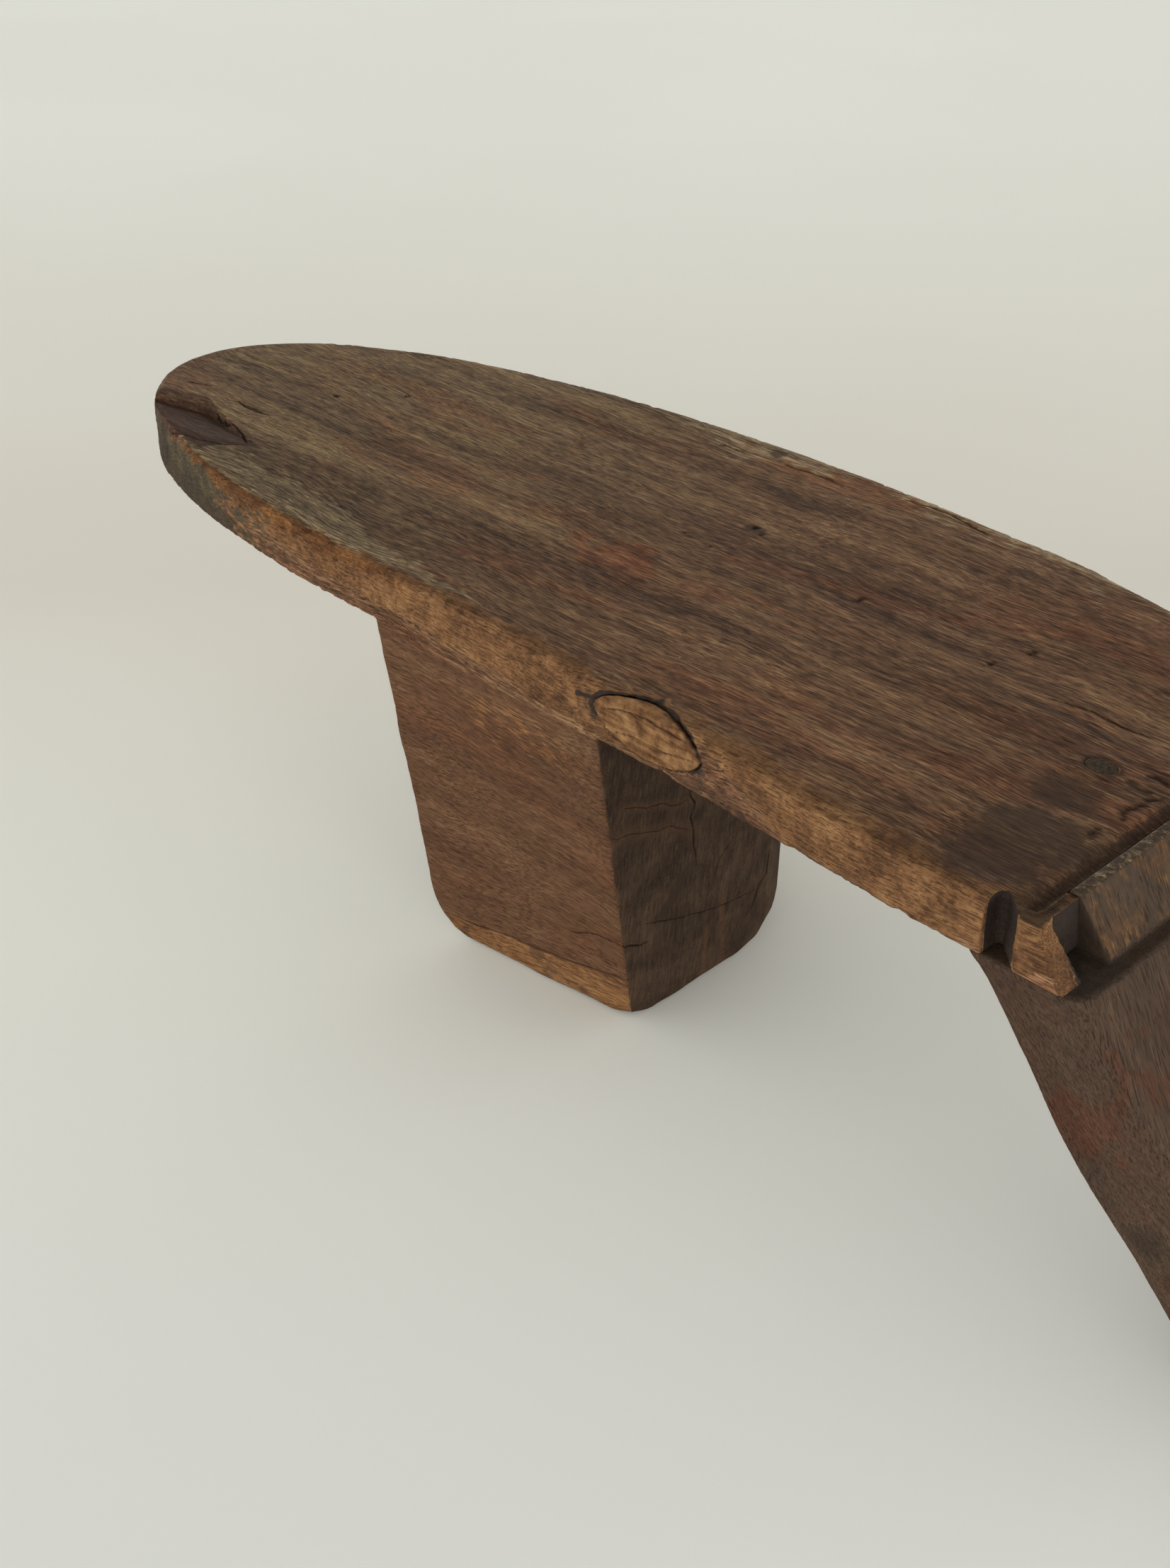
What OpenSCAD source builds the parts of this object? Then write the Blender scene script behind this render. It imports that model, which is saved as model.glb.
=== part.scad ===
// Low hand-hewn wooden seat: a long tongue-shaped board and a thick block leg cut from one log,
// with a splayed rear leg that stands in an open pocket at the end of the board.
// X runs from the rounded nose to the rear leg, Y across the seat, Z up from the ground.
// The origin is on the ground under the middle of the whole seat. Millimetres.

/* [Seat board] */
// Height of the seat above the ground
seat_h = 250; // [215:1:300]
// Length of the top from the nose to the rear edge
seat_len = 756; // [720:1:800]
// Half of the greatest width
seat_half_w = 141; // [130:1:155]
// Length over which the rounded nose grows to the full width
nose_len = 553; // [520:1:590]
// Fullness of the nose, higher is blunter
nose_power = 3.5; // [3:0.1:4.2]
// How much narrower each side is at the rear edge
rear_narrowing = 18; // [8:1:26]
// How far the log's natural sweep draws the rear end to the near side
sweep = 38.5; // [10:0.5:45]
// How far the same sweep draws the nose to the near side
nose_sweep = 13.5; // [0:0.5:25]
// Distance of the sweep's crest from the nose
sweep_crest = 400; // [340:1:430]
// Thickness of the board at the nose
nose_t = 36; // [30:0.5:40]
// Thickness of the board at the rear edge
rear_t = 27; // [23:0.5:32]
// Worn rounding of the top edge
top_round = 6; // [2:0.5:9]
// Worn rounding of the bottom edge
bottom_round = 1.5; // [1:0.25:3]

/* [Split flake] */
// Distance of the flake's inner tip from the nose
chip_x = 157.5; // [140:0.5:175]
// Distance of the tip from the near edge
chip_in = 37; // [30:1:44]
// Length over which the flake widens from its tip
chip_rise = 73; // [50:1:90]
// Width of the flake
chip_w = 38.5; // [28:0.5:46]
// Depth of the flake under its far ledge
chip_depth = 5; // [2:0.5:8]
// Turn of the flake towards the near edge, in degrees
chip_turn = 12; // [4:1:16]

/* [Block leg] */
// Distance of the block leg's front face from the nose, at its top
block_x = 317; // [300:1:335]
// Length of the block leg at its top
block_len = 175; // [165:1:186]
// How far the front face moves back towards the foot
block_front_draft = 3.5; // [0:0.5:8]
// How far the rear face moves forward towards the foot
block_rear_draft = 22.5; // [10:0.5:26]
// How far the block's near side stands in from the board's rounded lower edge
block_ledge = 0.7; // [0.4:0.1:3]
// How far the near side leans in towards the foot, at its front end
block_near_front_draft = 33; // [20:1:45]
// How far the near side leans in towards the foot, at its rear end
block_near_rear_draft = 52.5; // [30:0.5:60]
// How far the far side stands in from the board's far edge, at the top
block_far_inset = 53; // [40:1:60]
// How far the far side leans in towards the foot
block_far_draft = 5; // [0:1:15]
// Radius of the far rear corner at the foot, left by the round of the log
block_log_r = 74; // [50:1:76]
// Radius of the far rear corner at the top
block_log_top_r = 103; // [80:1:106]
// Radius of the far front corner
block_front_r = 34; // [20:1:36]
// Radius of the hewn near corners
block_near_r = 3; // [1:0.5:6]
// Rounding around the foot on the near side and the rear face
block_foot_round = 4; // [2:0.5:8]
// Rounding of the foot towards the far side
block_far_round = 15; // [10:1:22]
// Rounding of the foot towards the front
block_front_round = 30; // [24:1:33]

/* [Rear leg] */
// Outward splay of the rear leg from the vertical, in degrees
splay = 29; // [22:0.5:33]
// Inward lean of the rear leg's sides, in degrees
side_lean = 14; // [8:0.5:17]
// Thickness of the rear leg, measured level along X
leg_t = 59; // [54:1:66]
// How far the leg's outer face stands out beyond the board's lower rear edge
leg_ledge = 9; // [4:0.5:13]
// How far the leg's sides stand in from the board's edges
leg_inset = 2; // [0.5:0.5:6]
// Radius of the long edges of the leg's inner face
leg_edge_r = 7; // [3:0.5:12]
// Radius of the long edges of the leg's outer face
leg_outer_r = 11; // [5:0.5:16]
// Worn rounding around the rear foot
leg_foot_round = 6; // [3:0.5:10]

/* [Rear joint] */
// Width of the tongue's end that shows at the top of the board
tongue_top_t = 6.5; // [4:0.5:10]
// Distance from each edge of the board to the tongue, at the top
tongue_inset = 31; // [27:1:40]
// Width of each corner ear at the top of the board
ear_w = 9; // [7:0.5:14]
// Clearance between the tongue and its pocket
tongue_gap = 0.5; // [0.25:0.05:0.9]
// Clearance between the leg's shoulder and the underside of the board
shoulder_gap = 0.2; // [0.1:0.05:0.4]
// Width of the bevel cut along the seat in front of the tongue
bevel_w = 9; // [5:0.5:13]
// Depth of that bevel at the tongue
bevel_d = 3; // [1:0.5:5]
// Distance from the bottom of the side notch to the board's rear edge
side_notch_back = 25; // [22:0.5:32]
// Width of the side notch at the board's edge
side_notch_w = 17; // [10:0.5:19]
// Depth of the side notch
side_notch_d = 15; // [8:0.5:20]

/* [Peg] */
// Diameter of the slanting peg that locks the rear leg
peg_d = 11; // [8:0.5:13]
// Radial clearance around the peg
peg_gap = 0.15; // [0.05:0.05:0.3]
// Distance from the peg's head to the board's rear edge
peg_back = 51; // [46:0.5:56]
// Slant of the peg from the vertical, in degrees
peg_slant = 45; // [42:0.5:48]
// Length of the peg along its axis
peg_len = 84; // [74:1:92]

/* [Edge knot] */
// Distance of the middle of the knot from the nose
knot_x = 527.5; // [515:0.5:550]
// Length of the knot along the board's edge
knot_len = 75; // [60:1:80]
// Height of the knot in the board's edge
knot_h = 29.5; // [27:0.5:30]
// How far the knot's middle lies below the top of the board
knot_drop = 12.25; // [11.5:0.25:12.5]
// Depth of the knot into the board
knot_depth = 46; // [30:1:60]
// Shrinkage crack all round the knot
knot_gap = 0.8; // [0.3:0.1:1.2]

/* [Hidden] */

// Overshoot that keeps cuts clear of the faces that they pass through
over = 1;
// Points along each side of the nose and along each straight side
nose_pts = 24;
side_pts = 5;
// Points on a corner of a leg
corner_pts = 7;
// How far the block leg is carried up into the board, and the tongue down into its leg
root_depth = 14;
// How far side cuts and the peg's bore run past the faces that they start from
run_out = 8;
// Angles at which a worn rounding is drawn
round_angles = [0, 30, 60, 90];

// Colours of the dark heartwood, the redder rear leg, the worn knot and the peg
seat_colour = [0.36, 0.26, 0.19];
leg_colour = [0.38, 0.25, 0.19];
knot_colour = [0.52, 0.36, 0.22];
peg_colour = [0.27, 0.21, 0.17];

// Underside of the board, which thins evenly from the nose to the rear edge
function board_t(u) = nose_t + (rear_t - nose_t) * u / seat_len;
under_rear = seat_h - rear_t;
// The rear end slopes outwards as it goes down, in line with the leg
end_slope = tan(splay);
function end_u(z) = seat_len + (seat_h - z) * end_slope;

// Half width of the board, and the line midway between its edges, at u from the nose
function half_at(u) =
    u < nose_len
        ? seat_half_w * sqrt(1 - pow(1 - u / nose_len, nose_power))
        : seat_half_w - rear_narrowing * pow((u - nose_len) / (seat_len - nose_len), 2);
function sweep_at(u) =
    u < sweep_crest
        ? -nose_sweep * pow(1 - u / sweep_crest, 2)
        : -sweep * pow((u - sweep_crest) / (seat_len - sweep_crest), 2);

// Stations from the nose back along one side, closer together where the nose is round
function nose_u(a) = nose_len * (1 - pow(cos(a), 2 / nose_power));
function stations(last) = [
    for (i = [0 : nose_pts]) nose_u(90 * i / nose_pts),
    for (j = [1 : side_pts]) nose_len + (last - nose_len) * j / side_pts
];
edge_u = stations(seat_len);
far_reach = max([for (u = edge_u) sweep_at(u) + half_at(u)]);
near_reach = min([for (u = edge_u) sweep_at(u) - half_at(u)]);

// Middle line in the part's own frame, where both edges reach equally far
mid_shift = -(far_reach + near_reach) / 2;
function mid_y(u) = sweep_at(u) + mid_shift;
// The board's edge: side is -1 for the near one and 1 for the far one
function edge_y(u, side) = mid_y(u) + side * half_at(u);
function near_y(u) = edge_y(u, -1);
function far_y(u) = edge_y(u, 1);

// How far a foot's rounding of radius r is drawn in at height z above the ground
function foot_curve(r, z) = z < r ? r * (1 - sqrt(1 - pow(1 - z / r, 2))) : 0;
// Heights of the rings that draw such a rounding
function foot_levels(r) = [for (a = round_angles) r * (1 - cos(a))];

// The rear leg leans away from its top, so its foot sets the overall length
leg_h = under_rear - shoulder_gap;
leg_out_u = end_u(under_rear) + leg_ledge;
foot_out_u = max([
    for (z = foot_levels(leg_foot_round))
        leg_out_u + (leg_h - z) * end_slope - foot_curve(leg_foot_round, z)
]);
nose_x = -foot_out_u / 2;
function x_of(u) = nose_x + u;

rear_mid_y = mid_y(seat_len);
rear_half_w = half_at(seat_len);

// Faces that close a ring of n points in strips across it; a ring of odd length ends in a triangle
function strips(n) = [
    for (i = [0 : ceil(n / 2) - 2])
        i + 1 == n - 2 - i ? [i, i + 1, n - 1 - i] : [i, i + 1, n - 2 - i, n - 1 - i]
];

// A solid skinned over a stack of rings that all have the same number of points
module loft(rings) {
    n = len(rings[0]);
    m = len(rings);
    sides = [
        for (k = [0 : m - 2], i = [0 : n - 1])
            let (j = (i + 1) % n)
                each [
                    [k * n + i, (k + 1) * n + i, k * n + j],
                    [k * n + j, (k + 1) * n + i, (k + 1) * n + j]
                ]
    ];
    bottom = strips(n);
    top = [for (s = bottom) [for (k = [len(s) - 1 : -1 : 0]) (m - 1) * n + s[k]]];
    polyhedron(points = [for (r = rings) each r], faces = concat(bottom, sides, top), convexity = 6);
}

// Points of the round that replaces corner b between neighbours a and c
function corner_arc(a, b, c, r, n) =
    let (
        ua = (a - b) / norm(a - b),
        uc = (c - b) / norm(c - b),
        half = acos(ua * uc) / 2,
        axis = (ua + uc) / norm(ua + uc),
        centre = b + axis * r / sin(half),
        start = b + ua * r / tan(half) - centre,
        turn = 180 - 2 * half,
        way = ua[0] * uc[1] - ua[1] * uc[0] > 0 ? 1 : -1
    )
    [
        for (i = [0 : n - 1])
            let (t = way * -turn * i / (n - 1))
                centre + [
                    start[0] * cos(t) + start[1] * sin(t) * -1,
                    start[0] * sin(t) + start[1] * cos(t)
                ]
    ];

// A ring with rounded corners at height z; quad lists the corners, radii their rounds
function round_ring(quad, radii, z) = [
    for (k = [0 : 3])
        each [
            for (p = corner_arc(quad[(k + 3) % 4], quad[k], quad[(k + 1) % 4], radii[k], corner_pts))
                [p[0], p[1], z]
        ]
];

// Rings of the board's edge from its underside to its top: 0 for the underside or 1 for the top,
// how far the ring lies above that face, and how far it is drawn in
edge_rings = concat(
    [for (a = round_angles) [0, bottom_round * (1 - cos(a)), bottom_round * (1 - sin(a))]],
    [for (a = round_angles) [1, -top_round * (1 - sin(a)), top_round * (1 - cos(a))]]
);

// Board outline of one such ring, from the far rear corner round the nose
function board_ring(face, above, inset) =
    let (
        us = stations(end_u(seat_h - rear_t * (1 - face) + above)),
        last = len(us) - 1,
        line = concat(
            [for (i = [last : -1 : 0]) [us[i], far_y(min(us[i], seat_len))]],
            [for (i = [1 : last]) [us[i], near_y(min(us[i], seat_len))]]
        ),
        n = len(line)
    )
    [
        for (i = [0 : n - 1])
            let (
                before = line[max(i - 1, 0)],
                after = line[min(i + 1, n - 1)],
                along = (after - before) / norm(after - before),
                free_end = i == 0 || i == n - 1,
                p = line[i] + inset * [free_end ? 0 : -along[1], along[0]]
            )
                [x_of(p[0]), p[1], seat_h - board_t(p[0]) * (1 - face) + above]
    ];

module board() {
    loft([for (e = edge_rings) board_ring(e[0], e[1], e[2])]);
}

// The block leg's sides lean in from here down, and stand upright into the board above
block_top = seat_h - board_t(block_x) - bottom_round;

// Corners of the block leg at height z: near front, near rear, far rear, far front
function block_quad(z) =
    let (
        down = max(block_top - z, 0) / block_top,
        front = block_x + block_front_draft * down + foot_curve(block_front_round, z),
        rear = block_x + block_len - block_rear_draft * down - foot_curve(block_foot_round, z),
        near = bottom_round + block_ledge + foot_curve(block_foot_round, z),
        far = block_far_inset + block_far_draft * down + foot_curve(block_far_round, z)
    )
    [
        [x_of(front), near_y(block_x) + near + block_near_front_draft * down],
        [x_of(rear), near_y(block_x + block_len) + near + block_near_rear_draft * down],
        [x_of(rear), far_y(block_x + block_len) - far],
        [x_of(front), far_y(block_x) - far]
    ];
function block_radii(z) =
    let (up = min(z / block_top, 1))
        [block_near_r, block_near_r, block_log_r + (block_log_top_r - block_log_r) * up, block_front_r];

// The block's rounds start at three different heights, so its rings are drawn for all of them
block_levels = concat(
    foot_levels(block_foot_round),
    [(block_foot_round + block_far_round) / 2, block_far_round],
    [(block_far_round + block_front_round) / 2, block_front_round],
    [block_top, block_top + root_depth]
);

module block_leg() {
    loft([for (z = block_levels) round_ring(block_quad(z), block_radii(z), z)]);
}

// Slanting cut that follows the rear end, from the board's top down past its underside
module end_slot(u_top, near_top, width_top, shift) {
    low = seat_h - under_rear + over;
    loft([
        for (d = [low, -over])
            let (
                grow = shift * d / rear_t,
                y0 = near_top + grow,
                y1 = near_top + width_top,
                x0 = x_of(u_top),
                x1 = x_of(end_u(under_rear)) + over
            )
                [
                    [x0, y0, seat_h - d],
                    [x1, y0, seat_h - d],
                    [x1, y1, seat_h - d],
                    [x0, y1, seat_h - d]
                ]
    ]);
}

// How far the ears and the tongue's ends lean in over the thickness of the board
lean_shift = rear_t * tan(side_lean);
near_rear = near_y(seat_len);
tongue_u = seat_len - tongue_top_t;

// Repeats its children for the near side, then mirrored for the far side of the rear end
module both_sides() {
    children();
    translate([0, 2 * rear_mid_y, 0]) mirror([0, 1, 0]) children();
}

// V-shaped notch in one long edge, straight on its front side
module side_notch(side) {
    front = seat_len - side_notch_back;
    rear = front + side_notch_w;
    spread = run_out * side_notch_w / side_notch_d;
    translate([0, 0, under_rear - over])
        linear_extrude(height = rear_t + 2 * over)
            polygon([
                [x_of(front), edge_y(front, side) - side * side_notch_d],
                [x_of(front), edge_y(front, side) + side * run_out],
                [x_of(rear) + spread, edge_y(rear, side) + side * run_out],
                [x_of(rear), edge_y(rear, side)]
            ]);
}

// Outline of the tongue seen along X, grown by the clearance for its pocket
module tongue_outline(gap) {
    half_top = rear_half_w - tongue_inset + gap;
    half_low = half_top - lean_shift;
    polygon([
        [rear_mid_y - half_low, under_rear - (gap > 0 ? over : root_depth)],
        [rear_mid_y + half_low, under_rear - (gap > 0 ? over : root_depth)],
        [rear_mid_y + half_top, seat_h + (gap > 0 ? over : 0)],
        [rear_mid_y - half_top, seat_h + (gap > 0 ? over : 0)]
    ]);
}

// Turns an outline drawn in Y and Z into a bar along X
module along_x(length) {
    rotate([90, 0, 90]) linear_extrude(height = length) children();
}

module tongue_pocket() {
    reach = end_u(under_rear) - tongue_u + over;
    translate([x_of(tongue_u) - tongue_gap, 0, 0]) along_x(reach) tongue_outline(tongue_gap);
}

// Long bevel that runs down to the joint line in front of the tongue
module seat_bevel() {
    half = rear_half_w - ear_w - leg_inset;
    translate([0, rear_mid_y + half, 0])
        rotate([90, 0, 0])
            linear_extrude(height = 2 * half)
                polygon([
                    [x_of(tongue_u - bevel_w), seat_h],
                    [x_of(tongue_u), seat_h - bevel_d],
                    [x_of(tongue_u) + tongue_gap, seat_h + over],
                    [x_of(tongue_u - bevel_w), seat_h + over]
                ]);
}

// Flake split from the near side of the nose: its floor dips from a line that runs out of its tip
// down to a sharp ledge, and leaves through the board's edge
module nose_chip() {
    widening = chip_rise / chip_w;
    translate([x_of(chip_x), near_y(chip_x) + chip_in, seat_h])
        rotate([0, 0, 180 + chip_turn])
            rotate([asin(chip_depth / chip_w), 0, 0])
                linear_extrude(height = chip_depth + over)
                    polygon([
                        [-run_out * widening, run_out],
                        [chip_rise, -chip_w],
                        [chip_x, -chip_w],
                        [chip_x, run_out]
                    ]);
}

module peg_bore(radius, start, length) {
    translate([x_of(seat_len - peg_back), rear_mid_y, seat_h])
        rotate([0, 180 - peg_slant, 0])
            translate([0, 0, start])
                cylinder(r = radius, h = length, $fn = 48);
}

// Sections of the knot from its buried end outwards: share of the depth, share of the full size
knot_sections = [[0, 0.3], [0.45, 0.56], [0.8, 0.72], [1, 1], [1.2, 1.02]];
// Points round a section, and how much its ends are pinched into a lens
knot_pts = 20;
knot_pinch = 1.25;

// Stub of a branch that swells towards the near edge, seen there as a lens. It breaks out through
// the rounded top edge too
module knot_solid(gap) {
    loft([
        for (k = knot_sections)
            [
                for (i = [0 : knot_pts - 1])
                    let (
                        a = 360 * i / knot_pts,
                        rx = knot_len / 2 * k[1] + gap,
                        rz = knot_h / 2 * k[1] + gap
                    )
                        [
                            x_of(knot_x) + rx * cos(a),
                            near_y(knot_x) + knot_depth * (1 - k[0]) + (k[0] == 0 ? gap : 0),
                            seat_h - knot_drop + rz * pow(abs(sin(a)), knot_pinch) * sign(sin(a))
                        ]
            ]
    ]);
}

// Board and block leg, hewn from one log, with the pockets that take the other pieces
module seat_and_front_leg() {
    ear_slot_w = tongue_inset - ear_w;
    color(seat_colour)
        difference() {
            union() {
                board();
                block_leg();
            }
            for (side = [-1, 1]) side_notch(side);
            both_sides() end_slot(seat_len, near_rear + ear_w, ear_slot_w + lean_shift, lean_shift);
            tongue_pocket();
            seat_bevel();
            nose_chip();
            peg_bore(peg_d / 2 + peg_gap, -run_out, peg_len + run_out);
            knot_solid(knot_gap);
        }
}

// Corners of the rear leg at height z, in the same order as the block leg's
function leg_quad(z) =
    let (
        inset = foot_curve(leg_foot_round, z),
        down = leg_h - z,
        out = leg_out_u + down * end_slope - inset,
        in = leg_out_u - leg_t + down * end_slope + inset,
        half = rear_half_w - leg_inset - down * tan(side_lean) - inset
    )
    [
        [x_of(in), rear_mid_y - half],
        [x_of(out), rear_mid_y - half],
        [x_of(out), rear_mid_y + half],
        [x_of(in), rear_mid_y + half]
    ];
leg_radii = [leg_edge_r, leg_outer_r, leg_outer_r, leg_edge_r];

// The leg's shoulder follows the slope of the board's underside
leg_top = [
    for (p = round_ring(leg_quad(leg_h), leg_radii, leg_h))
        [p[0], p[1], seat_h - board_t(p[0] - nose_x) - shoulder_gap]
];

module leg_body() {
    loft(concat([for (z = foot_levels(leg_foot_round)) round_ring(leg_quad(z), leg_radii, z)], [leg_top]));
}

// Tongue whose outer face lies in the slope of the board's rear end
module tongue() {
    intersection() {
        translate([x_of(tongue_u), 0, 0])
            along_x(end_u(under_rear - root_depth) - tongue_u + over) tongue_outline(0);
        translate([0, rear_mid_y + rear_half_w, 0])
            rotate([90, 0, 0])
                linear_extrude(height = 2 * rear_half_w)
                    polygon([
                        [x_of(tongue_u), seat_h],
                        [x_of(seat_len), seat_h],
                        [x_of(end_u(under_rear - root_depth)), under_rear - root_depth],
                        [x_of(tongue_u), under_rear - root_depth]
                    ]);
    }
}

// Splayed slab leg with a shoulder under the board and a tongue up its rear end
module rear_leg() {
    color(leg_colour)
        difference() {
            union() {
                leg_body();
                tongue();
            }
            peg_bore(peg_d / 2 + peg_gap, -run_out, peg_len + run_out + over);
        }
}

// Slanting peg, its head cut flush with the seat
module leg_peg() {
    color(peg_colour)
        intersection() {
            peg_bore(peg_d / 2, -peg_d, peg_len + peg_d);
            translate([nose_x, -seat_half_w, 0]) cube([foot_out_u, 2 * seat_half_w, seat_h]);
        }
}

// Encased knot, dressed flush with the board's edge
module edge_knot() {
    color(knot_colour)
        intersection() {
            board();
            knot_solid(0);
        }
}

seat_and_front_leg();
rear_leg();
leg_peg();
edge_knot();
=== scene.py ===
import itertools
import math

import bmesh
import bpy
import numpy as np
from mathutils import Matrix, Vector
from mathutils.bvhtree import BVHTree


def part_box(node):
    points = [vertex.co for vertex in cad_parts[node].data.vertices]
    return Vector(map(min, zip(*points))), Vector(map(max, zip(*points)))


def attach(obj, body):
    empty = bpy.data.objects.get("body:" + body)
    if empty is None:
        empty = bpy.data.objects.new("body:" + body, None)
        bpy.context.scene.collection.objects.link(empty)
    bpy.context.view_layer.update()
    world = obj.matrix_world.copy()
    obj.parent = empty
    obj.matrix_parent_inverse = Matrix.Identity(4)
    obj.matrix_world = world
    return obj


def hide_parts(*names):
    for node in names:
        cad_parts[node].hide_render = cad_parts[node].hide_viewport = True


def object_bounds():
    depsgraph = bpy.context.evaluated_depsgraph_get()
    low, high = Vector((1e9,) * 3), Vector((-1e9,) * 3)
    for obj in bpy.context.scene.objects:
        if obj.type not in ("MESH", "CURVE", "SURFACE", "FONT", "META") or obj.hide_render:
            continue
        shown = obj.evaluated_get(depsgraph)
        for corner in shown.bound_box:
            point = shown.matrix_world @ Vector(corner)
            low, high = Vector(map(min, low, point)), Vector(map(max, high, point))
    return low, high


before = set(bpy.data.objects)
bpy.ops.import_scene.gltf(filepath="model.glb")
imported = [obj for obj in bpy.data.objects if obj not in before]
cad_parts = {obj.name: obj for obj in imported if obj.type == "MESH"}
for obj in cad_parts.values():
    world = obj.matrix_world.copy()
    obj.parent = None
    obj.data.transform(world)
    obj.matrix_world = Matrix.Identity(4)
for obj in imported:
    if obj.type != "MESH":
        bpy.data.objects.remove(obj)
CAD_BOX = [list(c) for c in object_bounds()]
# Blender works in metres. All sizes below are in millimetres, unless they say metres
MM = 0.001
PER_METRE = 1000
LOW_LIMIT, HIGH_LIMIT = (np.array(c) / MM for c in CAD_BOX)
# The carved surfaces stay this far inside the CAD's box
MARGIN = 0.02
# Pairs of axes, for lines and outlines that are drawn on one face
XY, XZ, YZ = [0, 1], [0, 2], [1, 2]

# ---------------------------------------------------------------- noise

# Odd numbers that mix the bits of a cell's place and of the seed
AXIS_KEYS = (73856093, 19349663, 83492791)
SEED_KEY = 2654435761
MIXING = ((13, 1540483477), (15, 2246822519))
LAST_SHIFT = 13
# Ten bits of the hash make one coordinate of a gradient
BITS, ALL_BITS = 10, 1023
NOISE_GAIN = 1.25
NEXT_SEED = 17


def hashed(cell, seed):
    """The same 32 random bits each time for a cell, given as three arrays of whole numbers."""
    h = np.uint32((seed * SEED_KEY) % 2**32)
    for i, key in zip(cell, AXIS_KEYS):
        h = h ^ i.astype(np.uint32) * np.uint32(key)
    for shift, key in MIXING:
        h ^= h >> np.uint32(shift)
        h *= np.uint32(key)
    return h ^ (h >> np.uint32(LAST_SHIFT))


def noise(p, seed):
    """Smooth gradient noise from about -1 to 1 at the points p."""
    base = np.floor(p)
    f = p - base
    i = base.astype(np.int64)
    w = f * f * f * (f * (f * 6 - 15) + 10)
    total = np.zeros(len(p))
    for corner in itertools.product((0, 1), repeat=3):
        h = hashed([i[:, k] + corner[k] for k in range(3)], seed)
        weight, slope = 1.0, 0.0
        for k, d in enumerate(corner):
            weight = weight * (w[:, k] if d else 1 - w[:, k])
            gradient = ((h >> np.uint32(BITS * k)) & np.uint32(ALL_BITS)) / (ALL_BITS / 2) - 1
            slope = slope + gradient * (f[:, k] - d)
        total += weight * slope
    return total * NOISE_GAIN


def cloud(p, size, seed, octaves=3):
    """Noise with features about size millimetres apart; size is one number or three."""
    total = np.zeros(len(p))
    q = p / np.array(size, float)
    share = 1.0
    for k in range(octaves):
        total += share * noise(q * 2**k, seed + NEXT_SEED * k)
        share *= 0.5
    return total


# How much of a normal points one way, from a surface that doesn't count to one that does
FLAT, FACING, TURNED = (0.6, 0.9), (0.6, 0.85), (0.3, 0.7)


def step(x, low, high):
    """0 below low, 1 above high, with a smooth way up between them."""
    t = np.clip((x - low) / (high - low), 0, 1)
    return t * t * (3 - 2 * t)


def bell(q, centre, half):
    """1 at the centre, fading with the distance from it measured in half sizes."""
    a, b = ((q[:, k] - centre[k]) / half[k] for k in (0, 1))
    return np.exp(-(a**2) - b**2)


def highest(*masks):
    return np.maximum.reduce(masks)


# ---------------------------------------------------------------- meshes

# Corners of the CAD mesh nearer than this, in metres, are one
SAME_PLACE = 1e-6
# An arris is what stands out by these millimetres from the mean of its neighbourhood
SMOOTH_ROUNDS = 10
ARRIS_LOW, ARRIS_HIGH = 0.25, 1.0


def added(name, data):
    """A new object in the scene."""
    obj = bpy.data.objects.new(name, data)
    bpy.context.scene.collection.objects.link(obj)
    return obj


def remeshed(node, voxel, name):
    """A fine even copy of a CAD node, on which the hewn surface is carved."""
    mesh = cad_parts[node].data.copy()
    bm = bmesh.new()
    bm.from_mesh(mesh)
    bmesh.ops.remove_doubles(bm, verts=bm.verts, dist=SAME_PLACE)
    bm.to_mesh(mesh)
    bm.free()
    obj = added(name, mesh)
    mod = obj.modifiers.new("remesh", "REMESH")
    mod.mode = "VOXEL"
    mod.voxel_size = voxel
    bpy.context.view_layer.update()
    remade = obj.evaluated_get(bpy.context.evaluated_depsgraph_get())
    out = bpy.data.meshes.new_from_object(remade)
    obj.modifiers.clear()
    obj.data = out
    out.name = name
    out.materials.clear()
    return obj


def vertex_values(obj, name):
    """The place or the normal of every vertex, one row each."""
    values = np.empty(len(obj.data.vertices) * 3, np.float32)
    obj.data.vertices.foreach_get(name, values)
    return values.reshape(-1, 3).astype(float)


def points(obj):
    return vertex_values(obj, "co") * PER_METRE


def normals(obj):
    return vertex_values(obj, "normal")


def set_points(obj, p):
    obj.data.vertices.foreach_set("co", (p * MM).astype(np.float32).ravel())
    obj.data.polygons.foreach_set("use_smooth", [True] * len(obj.data.polygons))
    obj.data.update()


def arrises(obj, p, n):
    """1 where the surface stands out from its own smoothed copy, 0 where it is flat or hollow."""
    e = np.empty(len(obj.data.edges) * 2, np.int32)
    obj.data.edges.foreach_get("vertices", e)
    a, b = e.reshape(-1, 2).T
    count = np.bincount(a, minlength=len(p)) + np.bincount(b, minlength=len(p))
    count = np.maximum(count, 1)[:, None]
    mean = p
    for _ in range(SMOOTH_ROUNDS):
        total = [
            np.bincount(a, mean[b, k], len(p)) + np.bincount(b, mean[a, k], len(p))
            for k in range(3)
        ]
        mean = 0.5 * mean + 0.5 * np.stack(total, axis=1) / count
    return step(np.sum((p - mean) * n, axis=1), ARRIS_LOW, ARRIS_HIGH)


def refine(obj, near, cuts):
    """Splits the faces where near(centres) is true, so that a crack can be cut into them."""
    bm = bmesh.new()
    bm.from_mesh(obj.data)
    centres = np.array([f.calc_center_median()[:] for f in bm.faces]) * PER_METRE
    faces = [f for f, k in zip(bm.faces, near(centres)) if k]
    edges = list({e for f in faces for e in f.edges})
    bmesh.ops.subdivide_edges(bm, edges=edges, cuts=cuts, use_grid_fill=True)
    bm.to_mesh(obj.data)
    bm.free()
    obj.data.update()


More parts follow.
